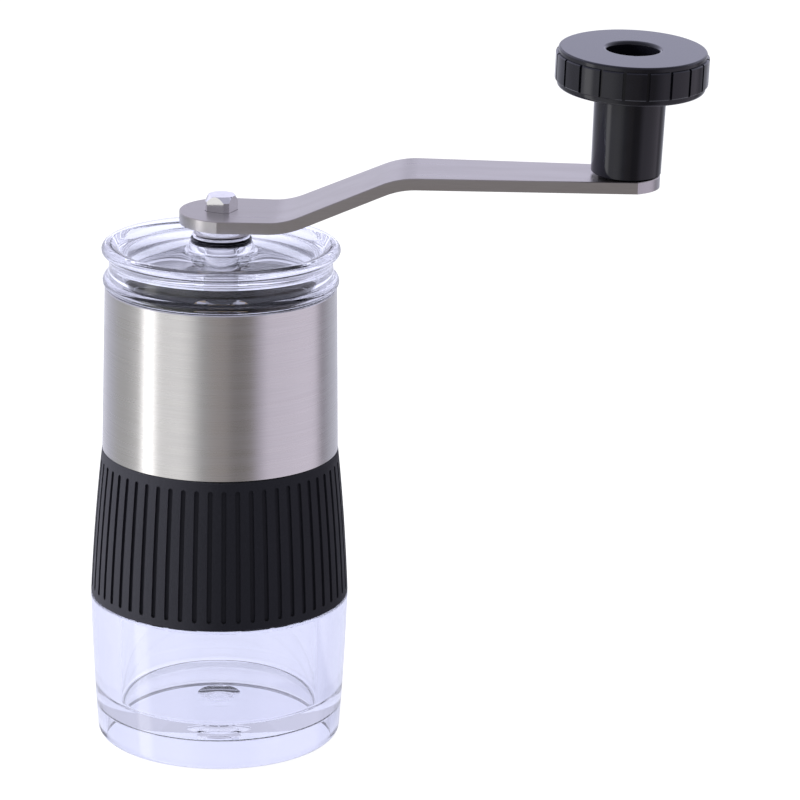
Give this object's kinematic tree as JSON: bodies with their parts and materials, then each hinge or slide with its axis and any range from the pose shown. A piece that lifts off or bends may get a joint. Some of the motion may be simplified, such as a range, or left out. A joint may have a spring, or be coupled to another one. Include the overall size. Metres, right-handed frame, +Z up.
{
  "type": "manual coffee grinder",
  "caption": "Hand cranked coffee grinder with clear catch cup, ribbed grip band, steel sleeve, clear lid and S-bent crank with a round knob.",
  "frame": {"origin": "centre of the catch cup's base, on the surface it stands on", "axes": "+Z up along the drive shaft, +X along the crank arm towards its knob"},
  "size_m": [0.1468, 0.0632, 0.1758],
  "materials": {
    "clear": "clear, polished",
    "rubber": "matt, fine grain",
    "steel": "brushed",
    "bright": "polished",
    "black": "gloss",
    "moulding": "satin",
    "ceramic": "fired, unglazed",
    "bush": "turned"
  },
  "bodies": {
    "cup": {"catch_cup": "clear"},
    "mill": {"lower_housing": "moulding", "cup_gasket": "rubber", "grip_band": "rubber", "body_sleeve": "steel", "hopper": "moulding", "upper_spider": "moulding", "upper_bush": "bush", "lower_bush": "bush", "outer_burr": "ceramic", "burr_holder": "moulding", "holder_screws": "bright"},
    "drive": {"drive_shaft": "bright", "shaft_clip": "bright", "end_clip": "bright"},
    "burr": {"inner_burr": "ceramic", "click_plate": "bright", "burr_spring": "bright"},
    "nut": {"adjusting_nut": "moulding"},
    "lid": {"lid": "clear", "lid_bush": "black", "lid_seal": "rubber"},
    "crank": {"crank_arm": "steel", "arm_collar": "bright", "arm_washer": "bright", "knob_pin": "bright", "foot_washer": "black"},
    "knob": {"knob_post": "black", "knob_cap": "black", "pin_washer": "bright"}
  },
  "joints": [
    {"name": "mill_lift", "type": "slide", "parent": "cup", "child": "mill", "axis": [0, 0, 1], "range_m": [0, 0.045]},
    {"name": "crank_spin", "type": "hinge", "parent": "mill", "child": "drive", "pos_m": [0, 0, 0.09], "axis": [0, 0, 1], "continuous": true},
    {"name": "crank_lift", "type": "slide", "parent": "drive", "child": "crank", "axis": [0, 0, 1], "range_m": [0, 0.05]},
    {"name": "knob_spin", "type": "hinge", "parent": "crank", "child": "knob", "pos_m": [0.0964, 0, 0.14406], "axis": [0.024, -0.0529, 0.9983], "continuous": true},
    {"name": "lid_lift", "type": "slide", "parent": "mill", "child": "lid", "axis": [0, 0, 1], "range_m": [0, 0.025]},
    {"name": "burr_set", "type": "slide", "parent": "drive", "child": "burr", "axis": [0, 0, -1], "range_m": [0, 0.0015], "deforming": ["burr_spring"]},
    {"name": "nut_turn", "type": "hinge", "parent": "burr", "child": "nut", "pos_m": [0, 0, 0.046], "axis": [0, 0, 1], "range_deg": [0, 720]}
  ],
  "couplings": [
    {"joint": "lid_lift", "follows": "crank_lift", "ratio": 0.5},
    {"joint": "nut_turn", "follows": "burr_set", "rad_per_m": 8377.6}
  ]
}
